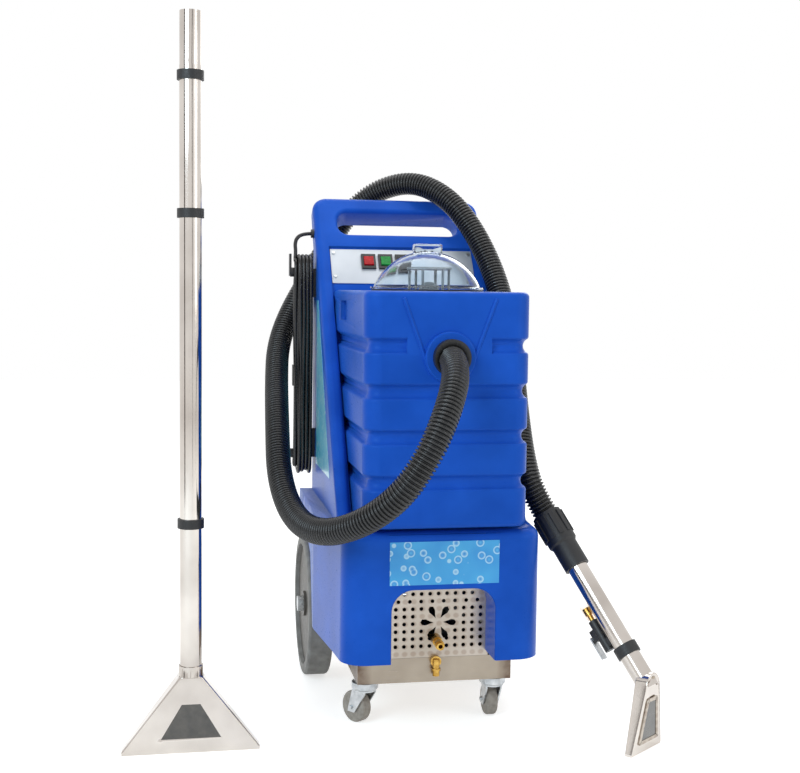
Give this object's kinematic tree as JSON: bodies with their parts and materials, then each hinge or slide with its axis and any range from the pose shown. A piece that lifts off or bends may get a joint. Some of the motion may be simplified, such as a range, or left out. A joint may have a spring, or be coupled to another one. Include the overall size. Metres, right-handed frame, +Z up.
{
  "type": "carpet cleaner machine",
  "caption": "Upright spray extraction carpet cleaner on a wheeled chassis, with a lift-off ribbed tank, clear lid, suction hose, hand tool and floor wand.",
  "frame": {"origin": "on the floor, under the middle of the chassis's front edge", "axes": "+X to the right seen from the front, +Y from the front to the rear, +Z up"},
  "size_m": [0.9586, 0.848, 1.279],
  "materials": {
    "blue": "satin rotomoulded polyethylene",
    "panel": "brushed",
    "black_plastic": "moulded",
    "red": "gloss",
    "green": "gloss",
    "black_rubber": "matt",
    "stainless": "brushed",
    "polished": "polished",
    "zinc": "zinc plated",
    "grey_tyre": "solid rubber",
    "hub": "moulded",
    "brass": "turned",
    "clear": "clear polycarbonate",
    "label": "printed film",
    "grey": "moulded",
    "motor": "painted"
  },
  "bodies": {
    "machine": {"axle_brackets": "stainless", "axle_caps": "black_plastic", "caster_plates": "zinc", "chassis_tray": "stainless", "control_panel": "panel", "cord_gland": "black_rubber", "cord_hank": "black_rubber", "cord_hooks": "black_plastic", "drain_coupling": "brass", "front_grille": "stainless", "front_label": "label", "main_body": "blue", "mains_lead": "black_rubber", "mains_plug": "black_rubber", "panel_screws": "zinc", "rear_axle": "stainless", "side_label": "label", "solution_coupling": "brass", "solution_line": "black_rubber", "solution_pump": "motor", "switch_housings": "black_plastic", "tank_seal": "black_rubber", "terminal_box": "grey", "vacuum_motors": "motor"},
    "tank": {"recovery_tank": "blue", "inlet_ring": "blue", "air_pipe": "grey", "float_cage": "grey", "dome_seal": "black_rubber", "hose_cuff": "black_rubber", "vacuum_hose": "black_plastic", "tool_cuff": "black_rubber", "tool_tube": "polished", "tool_strap": "black_rubber", "tool_valve": "black_plastic", "tool_fitting": "brass", "tool_head": "polished", "tool_window": "clear"},
    "lid": {"dome_lid": "clear"},
    "float": {"float_ball": "grey"},
    "pump_switch": {"rocker_pump": "red"},
    "vacuum_switch": {"rocker_vacuum": "green"},
    "booster_switch": {"rocker_booster": "black_plastic"},
    "left_wheel": {"tyre_left": "grey_tyre", "wheel_hub_left": "hub"},
    "right_wheel": {"tyre_right": "grey_tyre", "wheel_hub_right": "hub"},
    "left_swivel": {"caster_fork_left": "zinc"},
    "right_swivel": {"caster_fork_right": "zinc"},
    "left_roller": {"caster_wheel_left": "grey_tyre"},
    "right_roller": {"caster_wheel_right": "grey_tyre"},
    "left_rotor": {"vacuum_rotor_left": "stainless"},
    "right_rotor": {"vacuum_rotor_right": "stainless"},
    "filler": {"filler_cap": "black_plastic"},
    "trigger": {"tool_trigger": "zinc"},
    "wand": {"wand_tube": "polished", "wand_collars": "black_rubber", "wand_head": "polished", "wand_window": "clear", "wand_line": "black_rubber"}
  },
  "joints": [
    {"name": "left_wheel_roll", "type": "hinge", "parent": "machine", "child": "left_wheel", "pos_m": [-0.1815, 0.392, 0.148], "axis": [1, 0, 0], "continuous": true},
    {"name": "right_wheel_roll", "type": "hinge", "parent": "machine", "child": "right_wheel", "pos_m": [0.1815, 0.392, 0.148], "axis": [1, 0, 0], "continuous": true},
    {"name": "left_caster_swivel", "type": "hinge", "parent": "machine", "child": "left_swivel", "pos_m": [-0.123, 0.05, 0.075], "axis": [0, 0, 1], "continuous": true},
    {"name": "right_caster_swivel", "type": "hinge", "parent": "machine", "child": "right_swivel", "pos_m": [0.123, 0.05, 0.075], "axis": [0, 0, 1], "continuous": true},
    {"name": "left_caster_roll", "type": "hinge", "parent": "left_swivel", "child": "left_roller", "pos_m": [-0.13562, 0.06802, 0.03], "axis": [0.8192, 0.5736, 0], "continuous": true},
    {"name": "right_caster_roll", "type": "hinge", "parent": "right_swivel", "child": "right_roller", "pos_m": [0.123, 0.072, 0.03], "axis": [1, 0, 0], "continuous": true},
    {"name": "tank_lift", "type": "slide", "parent": "machine", "child": "tank", "axis": [0, 0, 1], "range_m": [0, 0.08]},
    {"name": "lid_lift", "type": "slide", "parent": "tank", "child": "lid", "axis": [0, 0, 1], "range_m": [0, 0.1]},
    {"name": "float_rise", "type": "slide", "parent": "tank", "child": "float", "axis": [0, 0, 1], "range_m": [0, 0.02]},
    {"name": "filler_turn", "type": "hinge", "parent": "machine", "child": "filler", "pos_m": [0, 0.455, 0.7], "axis": [0, 1, 0], "continuous": true},
    {"name": "left_rotor_spin", "type": "hinge", "parent": "machine", "child": "left_rotor", "pos_m": [-0.07, 0.29, 0.16], "axis": [0, 0, 1], "continuous": true},
    {"name": "right_rotor_spin", "type": "hinge", "parent": "machine", "child": "right_rotor", "pos_m": [0.07, 0.29, 0.16], "axis": [0, 0, 1], "continuous": true},
    {"name": "trigger_press", "type": "hinge", "parent": "tank", "child": "trigger", "pos_m": [0.28423, -0.06309, 0.18891], "axis": [-0.83, -0.5577, 0], "range_deg": [0, 8], "stiffness_Nm_per_rad": 0.6, "springref_deg": -5.73},
    {"name": "wand_lift", "type": "slide", "parent": "machine", "child": "wand", "axis": [0, 0, 1], "range_m": [0, 0.3]},
    {"name": "pump_rock", "type": "hinge", "parent": "machine", "child": "pump_switch", "pos_m": [-0.072, 0.37674, 0.87211], "axis": [1, 0, 0], "range_deg": [-5, 5]},
    {"name": "vacuum_rock", "type": "hinge", "parent": "machine", "child": "vacuum_switch", "pos_m": [-0.036, 0.37674, 0.87211], "axis": [1, 0, 0], "range_deg": [-5, 5]},
    {"name": "booster_rock", "type": "hinge", "parent": "machine", "child": "booster_switch", "pos_m": [0, 0.37674, 0.87211], "axis": [1, 0, 0], "range_deg": [-5, 5]}
  ]
}
